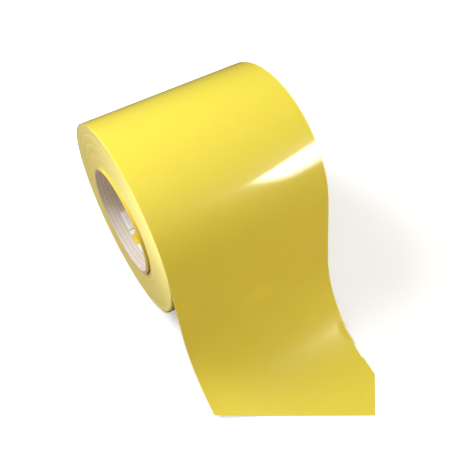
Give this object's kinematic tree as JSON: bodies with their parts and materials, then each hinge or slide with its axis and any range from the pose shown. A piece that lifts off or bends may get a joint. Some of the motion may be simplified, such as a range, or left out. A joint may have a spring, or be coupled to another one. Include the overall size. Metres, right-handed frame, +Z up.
{
  "type": "roll of sign vinyl",
  "caption": "Self-adhesive sign vinyl wound on an open paper core, with its free end paid out flat; the corner peels off its release liner.",
  "frame": {"origin": "middle of the core's bore, on its axis", "axes": "+X along the core towards the end where the core sits in, +Z up from the table the roll lies on, and the web comes off the front of the roll towards -Y"},
  "size_m": [0.1256, 0.2701, 0.143],
  "materials": {
    "core_lining": "smooth grey-white paper",
    "core_board": "raw wound board",
    "label_paper": "smooth label paper with a plain yellow block",
    "tape": "double-sided tissue tape",
    "release_liner": "siliconised kraft paper, satin",
    "adhesive": "clear tacky film",
    "vinyl_film": "glossy yellow film",
    "wound_web": "edges of wound film and liner"
  },
  "bodies": {
    "web": {"turn_liner": "release_liner", "turn_adhesive": "adhesive", "turn_film": "vinyl_film", "tail_liner": "release_liner", "tail_adhesive": "adhesive", "tail_film": "vinyl_film"},
    "roll": {"core_inner_ply": "core_lining", "core_lower_ply": "core_board", "core_upper_ply": "core_board", "core_outer_ply": "core_lining", "core_label": "label_paper", "start_tape": "tape", "first_liner": "release_liner", "first_adhesive": "adhesive", "first_film": "vinyl_film", "wound_inner": "wound_web", "wound_middle": "wound_web", "wound_outer": "wound_web"},
    "tail_end": {"end_liner": "release_liner", "end_adhesive": "adhesive", "end_film": "vinyl_film"},
    "corner": {"corner_adhesive": "adhesive", "corner_film": "vinyl_film"}
  },
  "joints": [
    {"name": "roll_spin", "type": "hinge", "parent": "web", "child": "roll", "pos_m": [0, 0, 0], "axis": [1, 0, 0], "continuous": true},
    {"name": "tail_lift", "type": "hinge", "parent": "web", "child": "tail_end", "pos_m": [0.0015, -0.13572, -0.06596], "axis": [-1, 0, 0], "range_deg": [0, 60]},
    {"name": "corner_peel", "type": "hinge", "parent": "tail_end", "child": "corner", "pos_m": [0.0015, -0.17808, -0.07126], "axis": [-1, 0, 0], "range_deg": [0, 150]}
  ]
}
